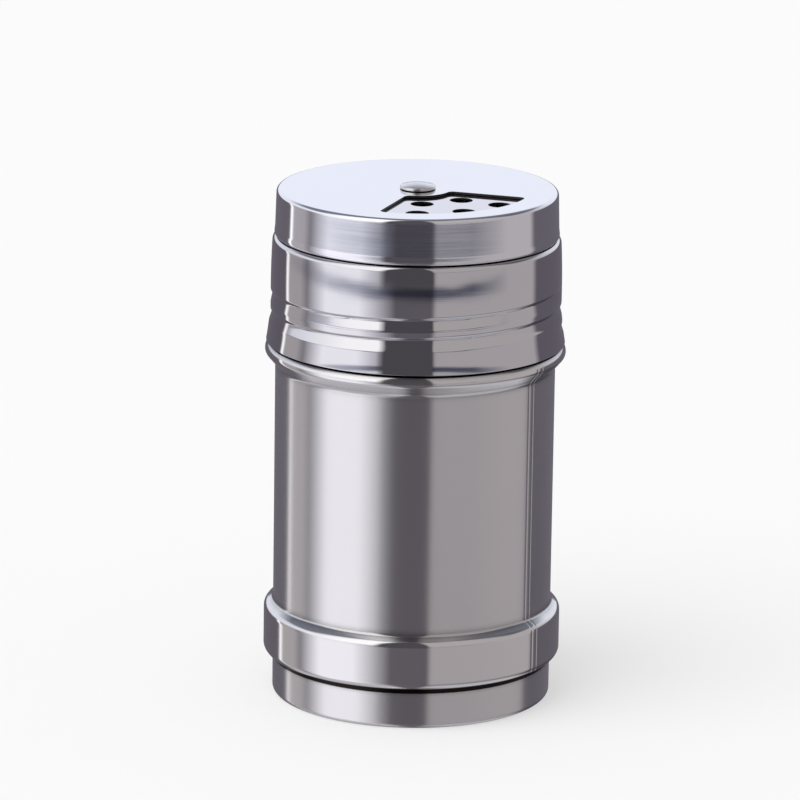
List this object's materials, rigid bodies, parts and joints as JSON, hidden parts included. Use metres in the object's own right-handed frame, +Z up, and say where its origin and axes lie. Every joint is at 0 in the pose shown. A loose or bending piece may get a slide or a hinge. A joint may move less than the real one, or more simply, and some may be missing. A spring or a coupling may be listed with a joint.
{
  "type": "spice shaker",
  "caption": "Round stainless steel spice shaker: screw lid with a perforated top, and a riveted cap with one window that turns over the holes.",
  "frame": {"origin": "centre of the ring that the shaker stands on", "axes": "+Z up along the shaker's axis, -Y towards the front, where the picture is taken from"},
  "size_m": [0.0614, 0.0614, 0.107],
  "materials": {
    "jar_satin": "satin brushed, bead and band polished",
    "foot_satin": "satin brushed",
    "lid_polished": "polished",
    "cap_polished": "polished",
    "rivet_polished": "polished",
    "spring_steel": "plain rolled",
    "washer_steel": "plain rolled"
  },
  "bodies": {
    "jar": {"jar_body": "jar_satin", "bottom_cup": "foot_satin"},
    "pivot": {"rivet": "rivet_polished", "wave_washer": "spring_steel", "clinch_washer": "washer_steel"},
    "lid": {"shaker_lid": "lid_polished"},
    "cap": {"rotating_cap": "cap_polished"}
  },
  "joints": [
    {"name": "lid_lift", "type": "slide", "parent": "jar", "child": "pivot", "axis": [0, 0, 1], "range_m": [0, 0.00801]},
    {"name": "lid_turn", "type": "hinge", "parent": "pivot", "child": "lid", "pos_m": [0, 0, 0.085], "axis": [0, 0, 1], "range_deg": [0, 720]},
    {"name": "cap_turn", "type": "hinge", "parent": "lid", "child": "cap", "pos_m": [0, 0, 0.1055], "axis": [0, 0, 1], "continuous": true}
  ],
  "couplings": [
    {"joint": "lid_lift", "follows": "lid_turn", "m_per_rad": 0.00063662}
  ]
}
